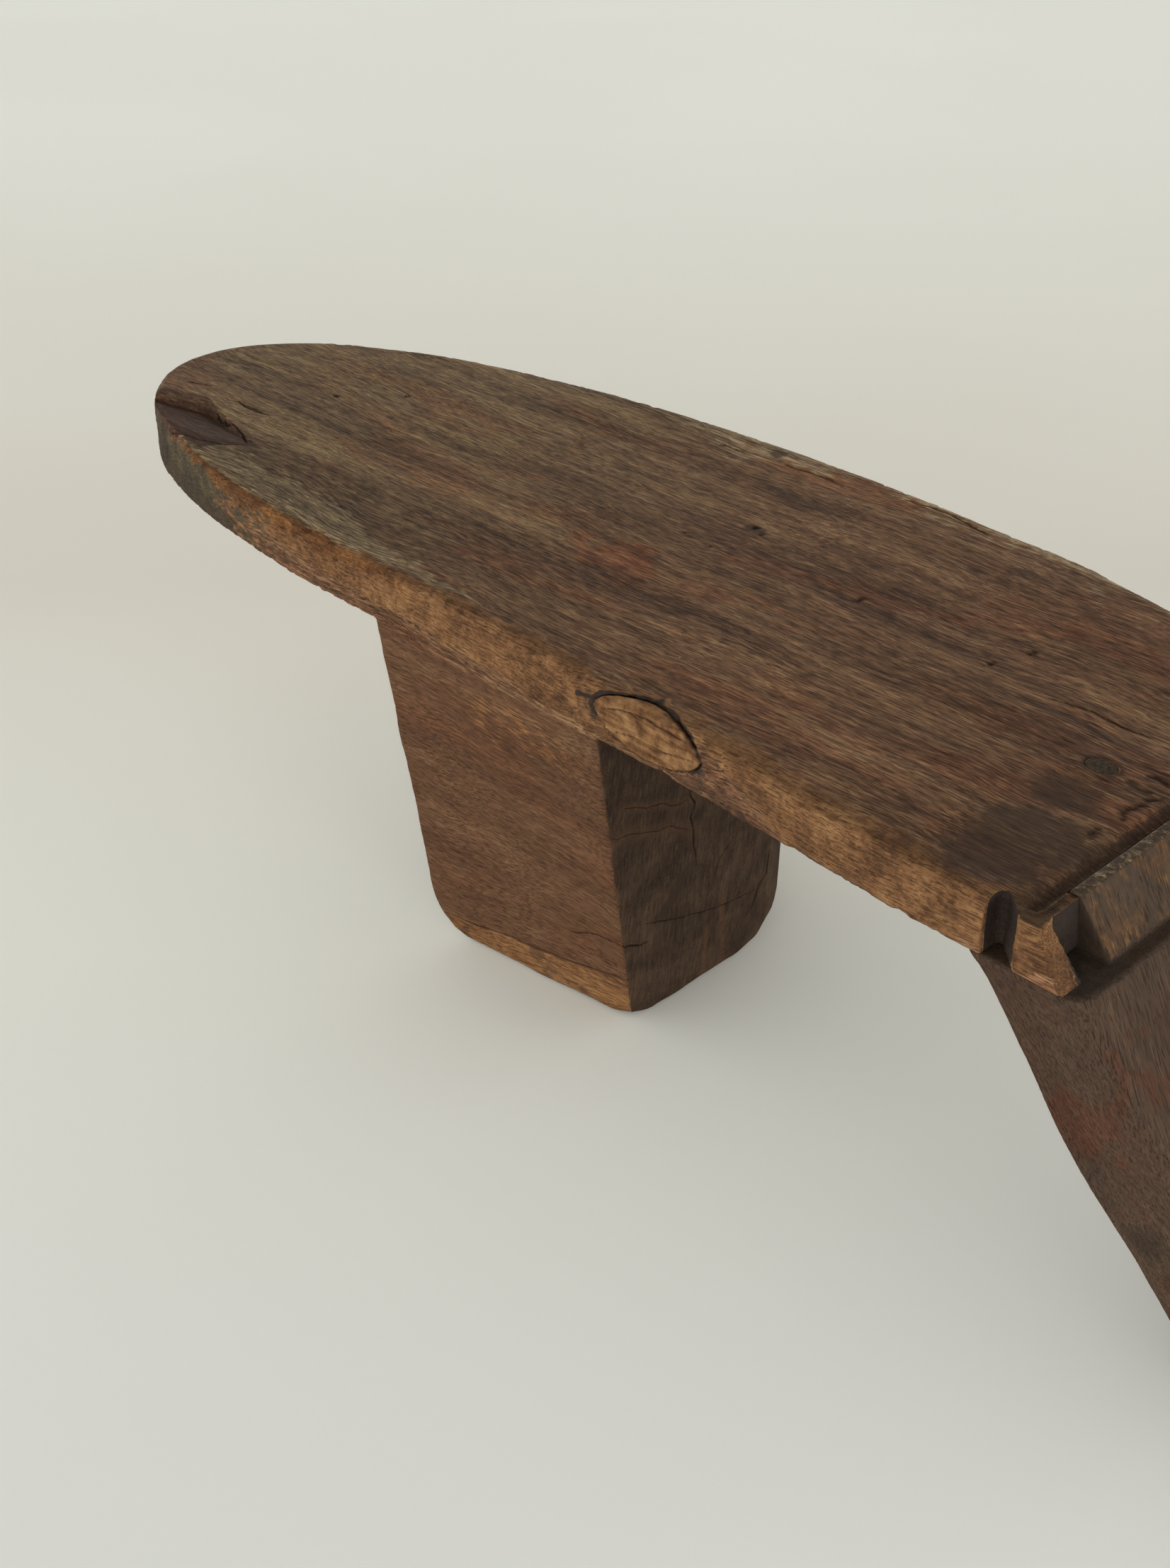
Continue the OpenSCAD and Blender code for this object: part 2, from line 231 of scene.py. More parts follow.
def store(obj, name, values):
    """Keeps a mask on the mesh, where the material reads it."""
    att = obj.data.attributes.new(name, "FLOAT", "POINT")
    att.data.foreach_set("value", np.clip(values, 0, 1).astype(np.float32))


def line_distance(q, line):
    """Distance from the points q to a polyline, and how far along it they are, from 0 to 1."""
    line = np.array(line, float)
    seg = np.diff(line, axis=0)
    length = np.linalg.norm(seg, axis=1)
    before = np.concatenate([[0], np.cumsum(length)])
    best = np.full(len(q), np.inf)
    where = np.zeros(len(q))
    for k in range(len(seg)):
        t = np.clip((q - line[k]) @ seg[k] / length[k] ** 2, 0, 1)
        d = np.linalg.norm(q - line[k] - t[:, None] * seg[k], axis=1)
        closer = d < best
        best[closer] = d[closer]
        where[closer] = (before[k] + t[closer] * length[k]) / before[-1]
    return best, where


def wobble(p):
    """A slow sideways wander in millimetres, so that drawn lines aren't ruled."""
    return np.stack([cloud(p, 9, 401, 2), cloud(p, 9, 443, 2)], axis=1) * 0.8


def drawn(q, line, half_width, soft):
    """1 on a line of the given half width, fading to 0 over soft millimetres."""
    return step(-line_distance(q, line)[0], -half_width - soft, -half_width)


def within(q, outline, soft):
    """1 inside a closed outline, easing to 0 over soft millimetres on each side of its border."""
    closed = outline + outline[:1]
    inside = np.zeros(len(q), bool)
    for (x0, y0), (x1, y1) in zip(closed, closed[1:]):
        beyond = (y0 > q[:, 1]) != (y1 > q[:, 1])
        inside ^= beyond & (q[:, 0] < x0 + (q[:, 1] - y0) * (x1 - x0) / (y1 - y0 + 1e-9))
    d = line_distance(q, closed)[0]
    return step(np.where(inside, d, -d), -soft, soft)


def gap_to(p, node, reach):
    """Distance from the points to a CAD node, or the reach where the node is further off."""
    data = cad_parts[node].data
    faces = [tuple(f.vertices) for f in data.polygons]
    tree = BVHTree.FromPolygons([v.co for v in data.vertices], faces)
    low, high = (np.array(v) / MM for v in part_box(node))
    gap = np.full(len(p), float(reach))
    for k in np.flatnonzero(np.all((p > low - reach) & (p < high + reach), axis=1)):
        found = tree.find_nearest(Vector(p[k] * MM), reach * MM)[3]
        if found is not None:
            gap[k] = found / MM
    return gap


class Crack:
    """A crack drawn on one face: the two axes it is drawn in, its points, its width and depth."""

    def __init__(self, axes, line, width, depth, facing):
        self.axes, self.line, self.width, self.depth = axes, line, width, depth
        self.facing = np.array(facing, float)

    def near(self, p, wander, reach):
        return line_distance(p[:, self.axes] + wander, self.line)[0] < reach

    def cut(self, p, n, wander):
        """1 on the crack and 0 beside it, and how much narrower it is towards its ends."""
        d, t = line_distance(p[:, self.axes] + wander, self.line)
        taper = np.sqrt(np.clip(np.minimum(t, 1 - t) * 6, 0.05, 1))
        on = step(n @ self.facing, 0.35, 0.6)
        return np.exp(-((d / (self.width * taper)) ** 2)) * on, taper


# ---------------------------------------------------------------- the seat's own sizes

SEAT_LOW, SEAT_HIGH = (np.array(v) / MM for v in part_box("seat_and_front_leg"))
PEG_LOW, PEG_HIGH = (np.array(v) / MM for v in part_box("leg_peg"))
TOP = SEAT_HIGH[2]
NOSE = SEAT_LOW[0]
SEAT_LEN = 756
BOARD_NOSE_T, BOARD_REAR_T = 36, 27
# The board's edges are read from the points in this depth under the top, one X after another
EDGE_DEPTH, EDGE_STEP = 12, 4.0
# Middle of the peg's head, of the knot and of the seam in front of the rear leg's tongue
PEG_X, PEG_Y = 254.5, (PEG_LOW[1] + PEG_HIGH[1]) / 2
KNOT_X = 77
SEAM_X = 295
# The side notch starts at NOTCH_X and NOTCH_Y, the near ear stands behind EAR_X and EAR_Y
NOTCH_X, NOTCH_Y, EAR_X, EAR_Y = 279.4, -147.5, 298, -139.9


def board_edges(p):
    """Near and far edge of the board along X, from the mesh of the seat."""
    board = p[p[:, 2] > TOP - EDGE_DEPTH]
    xs = np.arange(NOSE, NOSE + SEAT_LEN, EDGE_STEP)
    near, far = np.zeros(len(xs)), np.zeros(len(xs))
    for k, x in enumerate(xs):
        y = board[np.abs(board[:, 0] - x) < EDGE_STEP, 1]
        near[k], far[k] = y.min(), y.max()
    return xs, near, far


# ---------------------------------------------------------------- marks on the seat

# The faces that cracks are drawn on, by the way they look out
UP, NEAR_SIDE, REAR = (0, 0, 1), (0, -1, -0.15), (1, 0, -0.1)
# The faces within this distance of a crack are split finer, in so many cuts
CRACK_REACH, CRACK_CUTS = 2.6, 2
# The long crack near the foot of the block
FOOT_CRACK = [(-118, 14), (-95, 16), (-69, 20), (-50, 22), (-20, 27), (3, 32), (24, 36)]
# Two cracks along the growth rings in the block's end grain
UPPER_RING = [(-106, 162), (-96, 159), (-87, 154), (-74, 151), (-62, 143), (-52, 144)]
LOWER_RING = [(-116, 149), (-106, 143), (-97, 142), (-80, 135), (-64, 131), (-47, 120)]
# Rim and ledge of the split flake
FLAKE_RIM = [(-369, -94), (-350, -93.3), (-332, -90.8), (-317, -86.3), (-304, -75.1)]
FLAKE_LEDGE = [(-377, -48.8), (-351, -60), (-331, -63.1), (-306, -73.8)]
END_SPLIT = [(-53, 152), (-52, 146), (-47, 138), (-49, 130), (-46, 123), (-43, 110), (-39, 92)]
SEAT_CRACKS = [
    Crack(XY, [(203, 7), (213, 10), (223, 12), (240, 9), (257, 10)], 0.6, 2.2, UP),
    Crack(XY, [(-365, -38), (-351, -39), (-331, -38.5)], 0.9, 1.8, UP),
    Crack(XY, [(-414, -40), (-395, -34)], 0.4, 0.9, UP),
    Crack(XY, [(-109, 122), (-103, 125), (-93, 124)], 0.8, 1.6, UP),
    Crack(XY, [(-62, 128), (-41, 130), (-21, 130.5)], 0.8, 1.6, UP),
    Crack(XY, [(17, 137.5), (32, 140), (49, 140), (78, 133)], 0.8, 1.8, UP),
    Crack(XY, [(117, -141), (127, -139), (137, -143), (141, -146)], 0.6, 1.2, UP),
    Crack(XY, FLAKE_RIM, 0.35, 0.8, UP),
    Crack(XY, FLAKE_LEDGE, 0.55, 1.0, UP),
    Crack(XZ, FOOT_CRACK, 0.38, 1.8, NEAR_SIDE),
    Crack(XZ, [(-18, 51), (4, 60), (21, 62), (39, 63)], 0.35, 1.5, NEAR_SIDE),
    Crack(YZ, [(-96, 62), (-87, 61), (-79, 57), (-72, 56)], 0.45, 1.6, REAR),
    Crack(YZ, END_SPLIT, 0.4, 1.4, REAR),
    Crack(YZ, [(30, 68), (30, 50), (23, 47), (16, 34), (11, 30)], 0.45, 1.6, REAR),
    Crack(YZ, [(19, 46), (-16, 51), (-50, 61), (-81, 72)], 0.28, 0.8, REAR),
    Crack(YZ, [(-8, 98), (-20, 88), (-26, 63)], 0.25, 0.8, REAR),
    Crack(YZ, UPPER_RING, 0.22, 0.5, REAR),
    Crack(YZ, LOWER_RING, 0.22, 0.5, REAR),
]
# Gouges beside the rear joint, as lines
GOUGES = [
    [(285, -59), (283, -52), (284, -47), (284, -43)],
    [(286, -38), (289, -33)],
    [(271, -30), (277, -32), (282, -33)],
    [(277, -21), (281, -20), (285, -21)],
    [(284, -79), (281, -71)],
]
# Pits in the top: x, y, radius
PITS = [(-17, 50, 2.6), (-65, -5, 1.5), (-40, 20, 1.3), (-18, 14, 1.6), (77, 24, 2.4)]
PITS += [(164, 16, 2.4), (172, 37, 2.2), (-328, 12, 1.3), (-297, 43, 1.2), (-10, 47, 1.6)]
# Dark, pitted spots on the near face of the block: x, z, radius
BLOCK_PITS = [(-97, 148, 4.5), (-78, 147, 4), (-9, 178, 2.6), (-37, 173, 3)]
# Dips worn in the top by the near rear corner: x, y, half length, half width, depth
DIPS = [(262, -118, 26, 20, 1.6), (256, -58, 18, 14, 0.8)]
DIPS += [(296, -90, 14, 16, 0.9), (296, -140, 14, 18, 1.4)]
# The worn near rear corner of the block's foot: its place, how far the wear reaches, its depth
FOOT_CORNER, FOOT_WEAR, FOOT_DEPTH = np.array([18.0, -77.5, 2.0]), 9, 3.5
# Leaf-shaped dent across the grain
DENT = [(-175, 77.5), (-165, 67), (-154, 53), (-159.5, 46), (-170, 62)]
# Reddish band along the grain
RED_BAND = [(0, 13), (27, 19), (62, 29), (100, 34), (126, 43), (148, 57), (177, 71)]
# Soft dark blots on the top, round the peg and elsewhere: x, y, radius, strength
BLOTS = [(PEG_X, PEG_Y, 13, 0.9), (-74, 137, 8, 0.75), (-260, -70, 15, 0.4)]
BLOTS += [(-17, 50, 8, 0.75), (266, -96, 36, 0.8)]
# A dark blot down the block's end grain
END_BLOT = [(-43, 94), (-52, 87), (-57, 75), (-62, 71)]
# Broad dark patches along the grain of the top: x, y, half length, half width
SHADES = [(122, 106, 30, 7), (165, 99, 26, 9), (-165, 68, 10, 14), (80, -30, 60, 10)]
SHADES += [(-20, 95, 50, 6)]
# Floor of the split flake, as the eye follows it on the top
FLAKE_FLOOR = [(-297, -73), (-322, -66), (-352, -58), (-383, -46.5), (-402, -53), (-440, -62)]
FLAKE_FLOOR += [(-440, -100), (-366, -95.5), (-345, -94.5), (-322, -98), (-316, -84), (-305, -77)]
# The flake's tip, its turn against the grain, the length over which it widens, its full width
FLAKE_TIP, FLAKE_TURN, FLAKE_RISE, FLAKE_W = (-293, -74.5), math.radians(12), 73, 38.5
# How far down the near edge the tan band reaches, along X
BAND_X = [-450, -220, -120, -30, 40, 100, 112, 147, 172, 310]
BAND_DOWN = [17, 20, 23, 28, 31, 31, 7, 17, 30, 27]
# How far over the arris it reaches on to the top
ARRIS_X = [-300, -180, -80, 20, 45, 130, 270]
ARRIS_OVER = [3, 6, 13, 13, 3, 18, 16]
# Width of the bleached strip along the near edge of the top
BLEACH_X = [-330, -214, -100, 40, 60, 120, 280]
BLEACH_WIDE = [28, 38, 22, 8, 0, 18, 19]
# Stretches of X over which the finish comes in or goes out, from the nose to the rear end
TAN_IN, END_FACE_IN = (-400, -270), (300, 303)
CRUST_IN, CRUST_OUT, SPECKS_OUT = (-380, -330), (-170, -50), (-370, -340)
SLATE_OUT, LOW_SLATE_OUT, NOSE_SLATE_OUT = (-312, -272), (-290, -225), (-425, -390)
SLATE_PATCHES_OUT = (-290, -150)
BLEACH_IN, BLEACH_FAINTER, BLEACH_OUT = (-390, -320), (60, 200), (272, 282)
FAR_BLEACH_IN = (-300, -100)
GREY_SHEEN_OUT = (-300, 60)
UNDER_BAND_IN, UNDER_BAND_OUT = (-320, -280), (294, 297)
SLOT_IN = (284, 288)
# The rear joint: where its pocket and the leg's shoulder begin, and where the arris by it, on
# the near side, stays whole
POCKET_IN, SHOULDER_IN = (262, 270), (292, 297)
WHOLE_IN, WHOLE_BEYOND = (262, 272), (96, 104)
# Distances from the middle of the peg's head over which relief and wear come in
PEG_RELIEF, PEG_WEAR = (9, 15), (11, 14)
# The red middle of the top and the golden patch of the block: centre and half sizes
RED_MIDDLE = (-60, -15), (150, 50)
GOLD_PATCH = (-25, 188), (62, 26)
# Lines with their half width and how softly they end: two golden streaks in the end grain,
# the crack that runs out of the knot's seam, the dark left and right of the knot
GOLD_STREAKS = ([(-14, 60), (-4, 3)], 1.0, 3), ([(-24, 40), (-21, 8)], 0.5, 2.5)
KNOT_SPUR = [(30, 239), (40, 241)], 0.3, 1.8
LEFT_OF_KNOT = [(34, 234), (48, 226)], 2, 7
RIGHT_OF_KNOT = [(119, 230), (150, 219)], 4, 9
# The knot's seam is strong over this height and beyond this distance from KNOT_X
SEAM_HIGH, SEAM_ENDS = (233, 241), (31, 35)


def flake(p):
    """Seen from above: how far inside the split flake the points lie, and how far across it."""
    x, y = p[:, 0] - FLAKE_TIP[0], p[:, 1] - FLAKE_TIP[1]
    along = -x * math.cos(FLAKE_TURN) - y * math.sin(FLAKE_TURN)
    across = -x * math.sin(FLAKE_TURN) + y * math.cos(FLAKE_TURN)
    return np.minimum(across, FLAKE_W * np.clip(along / FLAKE_RISE, 0, 1) - across), across


def inside_box(p):
    return np.clip(p, LOW_LIMIT + MARGIN, HIGH_LIMIT - MARGIN)


class SeatSkin:
    """The points of the seat's mesh, and the fields that its relief and its masks are made from.

    down and the gaps are distances in millimetres from the top and from the board's edges;
    wavy, fine and torn are noise from about -1 to 1, and the masks run from 0 to 1.
    """

    def __init__(self, obj):
        p = self.p = points(obj)
        n = self.n = normals(obj)
        xs, near, far = board_edges(p)
        self.near_gap = p[:, 1] - np.interp(p[:, 0], xs, near)
        self.far_gap = np.interp(p[:, 0], xs, far) - p[:, 1]
        self.down = TOP - p[:, 2]
        board_t = BOARD_NOSE_T + (BOARD_REAR_T - BOARD_NOSE_T) * (p[:, 0] - NOSE) / SEAT_LEN
        in_board = self.in_board = step(board_t - self.down, -6, -1)
        block = self.block = 1 - in_board
        self.top = step(n[:, 2], *FLAT) * step(p[:, 2], TOP - 12, TOP - 7)
        self.below = step(-n[:, 2], *FLAT) * in_board
        self.side = in_board * (1 - step(np.abs(n[:, 2]), 0.75, 0.95))
        self.near_face = self.side * step(-n[:, 1], 0.05, 0.5)
        self.block_near = block * step(-n[:, 1], *FACING)
        self.block_rear = block * step(n[:, 0], *FACING)
        self.convex = arrises(obj, p, n)
        self.wander = wobble(p)
        self.wavy = cloud(p, (55, 40, 30), 37, 3)
        self.fine = cloud(p, (10, 7, 7), 41, 3)
        self.torn = cloud(p, (7, 3.5, 4), 43, 2)
        self.jagged = p[:, XY] + np.stack([3.0 * self.torn, 2.5 * self.fine], axis=1)
        self.from_peg = np.hypot(p[:, 0] - PEG_X, p[:, 1] - PEG_Y)
        # How far the tan band on the near edge reaches down, and the notch and the slot, whose
        # walls are darkened as painted shade
        self.reach = np.interp(p[:, 0], BAND_X, BAND_DOWN) + 6 * self.wavy + 3 * self.fine
        in_notch = step(p[:, 0], NOTCH_X, NOTCH_X + 0.8) * (1 - step(p[:, 0], EAR_X, EAR_X + 2))
        self.notch = self.side * in_notch * step(p[:, 1] - NOTCH_Y, 0.6, 1.8)
        past_ear = step(p[:, 1] - EAR_Y + 2.5 * self.fine, 0, 2)
        self.slot = in_board * (1 - self.top) * step(p[:, 0], *SLOT_IN) * past_ear
        self.dent = self.top * within(p[:, XY], DENT, 1.5)
        self.hole = self.pitted()

    def pitted(self):
        """The pits and the gouges in the top."""
        p, torn = self.p, self.torn
        hole = np.zeros(len(p))
        for x, y, r in PITS:
            q = np.hypot(p[:, 0] - x, (p[:, 1] - y) / 1.4) + 3.0 * torn
            hole = np.maximum(hole, self.top * step(-q, -r * 1.2, -r * 0.2))
        for line in GOUGES:
            hole = np.maximum(hole, 0.75 * self.top * drawn(self.jagged, line, 0.1, 1.9))
        return hole


def seat_relief(s):
    """How far each point of the seat moves outward, but for the cracks."""
    p = s.p
    d = np.zeros(len(p))
    # Slow unevenness of the hewn faces, and the marks of the adze
    d += s.top * (0.9 * cloud(p, (170, 70, 90), 3, 2) - 0.5)
    d += s.top * 0.22 * cloud(p, (38, 11, 20), 5, 2)
    d += s.side * (1.4 * cloud(p, (60, 60, 40), 7, 2) - 0.3)
    d += s.side * 0.55 * cloud(p, (15, 15, 11), 11, 3)
    d += s.block * (1.3 * cloud(p, 60, 13, 2) - 0.6)
    d += s.block * 0.35 * cloud(p, (24, 15, 15), 19, 3)
    d += s.below * 0.8 * cloud(p, (70, 30, 30), 23, 2)
    # Chipped, worn arrises, which stay whole by the near end of the rear joint
    by_joint = step(p[:, 0], *WHOLE_IN) * step(-p[:, 1], *WHOLE_BEYOND)
    rim = s.in_board * step(9 - np.minimum(s.near_gap, s.far_gap), 0, 6) * (1 - by_joint)
    chips = np.abs(cloud(p, (13, 13, 9), 29, 2))
    nibbled = step(cloud(p, (5, 5, 4), 47, 2), 0.0, 0.6)
    d -= (1 - by_joint) * s.convex * (0.2 + 1.6 * step(chips, 0.28, 0.75) + 0.5 * nibbled)
    d -= s.block * s.convex * 1.6 * step(30 - p[:, 2], 0, 25)
    from_corner = np.linalg.norm(p - FOOT_CORNER, axis=1)
    d -= s.block * FOOT_DEPTH * np.exp(-((from_corner / FOOT_WEAR) ** 2))
    d -= rim * (1.2 * step(chips, 0.35, 0.85) + 0.5 * nibbled)
    for x, y, rx, ry, depth in DIPS:
        d -= s.top * depth * bell(p[:, XY], (x, y), (rx, ry))
    d -= 0.7 * s.hole
    # The split flake is scooped out under its ledge
    inside, across = flake(p)
    scoop = np.exp(-((np.maximum(inside, 0) / 9) ** 2)) * step(inside, 0.5, 3.5)
    scoop = scoop * step(across, 9, 22)
    flake_floor = step(s.n[:, 2], *FLAT) * step(s.down, 0.6, 2.0)
    d -= 1.8 * scoop * flake_floor
    d -= 0.6 * s.dent
    # Where the rear leg bears on the board, the faces stay as the joint has them
    bearing = np.clip(s.below + s.side * step(p[:, 0], *SHOULDER_IN), 0, 1)
    d *= 1 - step(p[:, 0], *POCKET_IN) * bearing
    return d * step(s.from_peg, *PEG_RELIEF)


def tan_mask(s):
    """Tan wood, where the near edge and its arris are worn."""
    p, n = s.p, s.n
    from_nose = step(p[:, 0], *TAN_IN)
    band = s.near_face * step(s.reach - s.down, 0, 5) * from_nose
    end_face = step(n[:, 0], 0.3, 0.6) * s.in_board * step(p[:, 0], *END_FACE_IN)
    band = np.maximum(band, end_face * (1 - s.slot))
    arris = step(s.near_gap + s.down, 0, 1) * step(n[:, 2], 0.2, 0.5)
    over = np.interp(p[:, 0], ARRIS_X, ARRIS_OVER) + 6 * s.wavy + 4 * s.fine
    band = np.maximum(band, arris * s.top * step(over - s.near_gap, 0, 4) * from_nose)
    return band * (1 - s.notch)


def rust_mask(s):
    """Rust-brown crust along the upper near edge, and specks of it round the nose."""
    x = s.p[:, 0]
    crust = s.near_face * step(11 + 6 * s.wavy + 5 * s.fine - s.down, 0, 6)
    crust *= step(x, *CRUST_IN) * (1 - step(x, *CRUST_OUT))
    specks = 0.45 * s.side * (1 - step(x, *SPECKS_OUT)) * step(s.torn + 0.5 * s.fine, 0.2, 0.7)
    return np.maximum(crust, specks)


def slate_mask(s):
    """Grey crust on the side of the nose, fading out in patches along the near edge."""
    x, near = s.p[:, 0], s.near_face
    low = step(s.down + 10 * s.wavy, 16, 23)
    patches = step(s.torn + 0.6 * s.fine, -0.6, 0.6)
    return highest(
        near * (1 - step(x + 25 * s.fine + 20 * s.wavy, *SLATE_OUT)),
        0.8 * near * (1 - step(x, *LOW_SLATE_OUT)) * low,
        s.side * (1 - step(x, *NOSE_SLATE_OUT)),
        0.85 * near * (1 - step(x, *SLATE_PATCHES_OUT)) * patches,
    )


def bleach_mask(s):
    """Wood bleached along both edges of the top."""
    x = s.p[:, 0]
    wide = np.interp(x, BLEACH_X, BLEACH_WIDE) + 9 * s.wavy + 7 * s.fine
    near = s.top * step(wide - s.near_gap, 0, 10) * step(s.near_gap + 4 * s.fine, 1, 6)
    near *= step(x, *BLEACH_IN) * (1 - step(x, *BLEACH_OUT)) * (1 - 0.2 * step(x, *BLEACH_FAINTER))
    far = s.top * step(32 + 20 * s.wavy + 16 * s.fine - s.far_gap, 0, 26)
    far = far * step(x, *FAR_BLEACH_IN)
    return np.maximum(near, 0.6 * far)


def red_mask(s):
    """Redder wood: a band and the middle of the top, the foot of the near edge, the dent."""
    p = s.p
    along = line_distance(p[:, XY], RED_BAND)[0]
    middle = bell(p[:, XY], *RED_MIDDLE) * step(s.wavy + 0.4 * s.fine, -0.3, 0.5)
    under_band = s.near_face * step(s.down - s.reach, -2, 3)
    under_band *= step(p[:, 0], *UNDER_BAND_IN) * (1 - step(p[:, 0], *UNDER_BAND_OUT))
    return highest(
        0.5 * s.top * step(6 * s.fine + 8 * s.wavy - along, -22, -2),
        0.9 * s.top * middle,
        0.45 * under_band,
        0.5 * s.dent,
    )


def golden_mask(s):
    """Golden wood under the foot crack, high on the block's near face, and in its end grain."""
    p = s.p
    crack_z = np.interp(p[:, 0], *zip(*FOOT_CRACK))
    upper = bell(p[:, XZ], *GOLD_PATCH) * step(s.wavy * 0.6 + s.fine, -0.7, 0.4)
    at = p[:, YZ] + s.wander
    streaks = highest(*(drawn(at, *streak) for streak in GOLD_STREAKS))
    rings = np.maximum(drawn(at, LOWER_RING, 1.5, 6), drawn(at, UPPER_RING, 0.8, 4))
    return highest(
        s.block_near * step(crack_z - p[:, 2], 0, 1.5) * step(s.wavy + s.fine, -0.9, 0.3),
        0.75 * s.block_near * upper,
        s.block_rear * np.maximum(streaks * 0.42, rings * 0.32),
    )


def dark_mask(s):
    """Soft dark patches: dirt in the dips, blots, shades along the grain, dark pits."""
    p, fine, top = s.p, s.fine, s.top
    marks = []
    for x, y, rx, ry, _ in DIPS:
        marks.append(0.9 * top * bell(p[:, XY], (x, y), (rx * 1.25, ry * 1.25)))
    for x, y, r, strength in BLOTS:
        q = np.hypot((p[:, 0] - x) / 1.4, p[:, 1] - y) + 4 * fine
        marks.append(strength * top * step(-q, -r, -r * 0.3))
    for x, y, rx, ry in SHADES:
        q = np.hypot((p[:, 0] - x) / rx, (p[:, 1] - y) / ry) + 0.5 * s.wavy + 0.3 * fine
        marks.append(0.5 * top * step(-q, -1.1, -0.3))
    for line in GOUGES:
        marks.append(0.5 * top * drawn(s.jagged, line, 1.0, 7))
    for x, z, r in BLOCK_PITS:
        q = np.hypot((p[:, 0] - x) / 1.6, p[:, 2] - z) + 4 * fine
        marks.append(0.5 * s.block_near * step(-q, -r * 1.7, -r * 0.3))
    marks.append(0.7 * top * step(-np.abs(p[:, 0] - SEAM_X), -6, -1))
    before_seam = step(UNDER_BAND_OUT[0] - p[:, 0], 0, 4)
    under_band = s.near_face * step(s.down - s.reach, 0, 4) * before_seam
    marks.append(0.5 * under_band)
    marks.append(0.9 * s.block_rear * drawn(p[:, YZ] + 3 * fine[:, None], END_BLOT, 1.5, 6))
    return highest(*marks)


def stain_and_shade_mask(s):
    """Nearly black: the knot's seam, what lies beside it, and painted shade in notch and slot."""
    p, fine = s.p, s.fine
    # The seam is strong above the knot and at its two ends, and faint below it
    strong = step(np.abs(p[:, 0] - KNOT_X), *SEAM_ENDS)
    strong = np.maximum(step(p[:, 2], *SEAM_HIGH), strong)
    seam = step(-gap_to(p, "edge_knot", 5) - 1.2 * fine, -3.4, -1.4) * (0.2 + 0.8 * strong)
    spur = s.near_face * drawn(p[:, XZ] + s.wander, *KNOT_SPUR)
    beside = drawn(p[:, XZ], *RIGHT_OF_KNOT) + drawn(p[:, XZ], *LEFT_OF_KNOT)
    beside = s.near_face * np.clip(beside, 0, 1) * (0.42 + 0.3 * fine)
    # The notch and the slot: painted shade, with some dirt, where their walls would lie in shadow
    return highest(seam, spur, beside, 0.75 * s.notch, 0.8 * s.slot)


def carve_seat(voxel):
    obj = remeshed("seat_and_front_leg", voxel, "seat_and_front_leg_wood")

    def by_crack(c):
        wander = wobble(c)
        return np.any([k.near(c, wander, CRACK_REACH) for k in SEAT_CRACKS], axis=0)

    refine(obj, by_crack, CRACK_CUTS)
    s = SeatSkin(obj)
    p, n = s.p, s.n
    d = seat_relief(s)
    crack = np.zeros(len(p))
    for k in SEAT_CRACKS:
        c, taper = k.cut(p, n, s.wander)
        d -= c * k.depth * taper
        crack = np.maximum(crack, c)
    set_points(obj, inside_box(p + n * d[:, None]))

    end = step(np.abs(n[:, 0]), 0.55, 0.85) * (1 - s.top) * s.block
    split = within(p[:, XY] + 1.5 * s.torn[:, None], FLAKE_FLOOR, 1.0)
    split *= step(n[:, 2], 0.1, 0.4) * step(-s.down, -16, -12)
    store(obj, "tan", tan_mask(s))
    store(obj, "rust", rust_mask(s))
    store(obj, "calm", 0.85 * s.block)
    store(obj, "slate", slate_mask(s))
    store(obj, "bleach", bleach_mask(s))
    # Greyer top towards the nose: weathered wood, and a painted sheen where the top is seen at a
    # grazing angle
    store(obj, "grey_and_sheen", 0.9 * s.top * (1 - step(p[:, 0] + 40 * s.wavy, *GREY_SHEEN_OUT)))
    store(obj, "red", red_mask(s))
    store(obj, "golden", golden_mask(s))
    store(obj, "crack", np.maximum(crack, 0.85 * s.hole))
    store(obj, "end", end)
    store(obj, "wear", s.convex * (1 - 0.6 * s.side) * step(s.from_peg, *PEG_WEAR))
    store(obj, "chip", split)
    # Stains by the knot, and painted shade, with some dirt, in the notch and the slot
    store(obj, "stain_and_shade", stain_and_shade_mask(s))
    store(obj, "dark", dark_mask(s))
    return obj


# ---------------------------------------------------------------- rear leg, peg and knot

# Heights between which the leg's body ends at its shoulder and its tongue's head begins
BODY_TOP, HEAD_FOOT = (214, 220), (219, 224)
# The shoulder's ledge: heights at which it comes in and goes out, where it begins in X, and
# how far to the near side it is darkened as painted shade under the board's end
LEDGE_IN, LEDGE_OUT, LEDGE_X, LEDGE_SHADE = (212, 218), (223, 226), (299, 304), (102, 114)
# The slight hollow of the leg's inner side: its height, its half length and its depth
HOLLOW_Z, HOLLOW_HALF, HOLLOW_DEPTH = 130, 45, 4.5
# A dark spot on the leg's near side: centre and half sizes
LEG_SPOT = (360, 95), (14, 16)
# Half the height of the peg's bumps
PEG_BUMP = 0.15
# The knot's two cracks, both cut to the one depth
UPPER_SPLIT = [(50, 239), (60, 242), (68, 244), (81, 245), (98, 244), (107, 244)]
LOWER_SPLIT = [(57, 229), (75, 232), (90, 232), (103, 235), (112, 237)]
KNOT_SPLIT_DEPTH = 1.2
KNOT_CRACKS = [
    Crack(XZ, UPPER_SPLIT, 0.45, KNOT_SPLIT_DEPTH, NEAR_SIDE),
    Crack(XZ, LOWER_SPLIT, 0.4, KNOT_SPLIT_DEPTH, NEAR_SIDE),
]


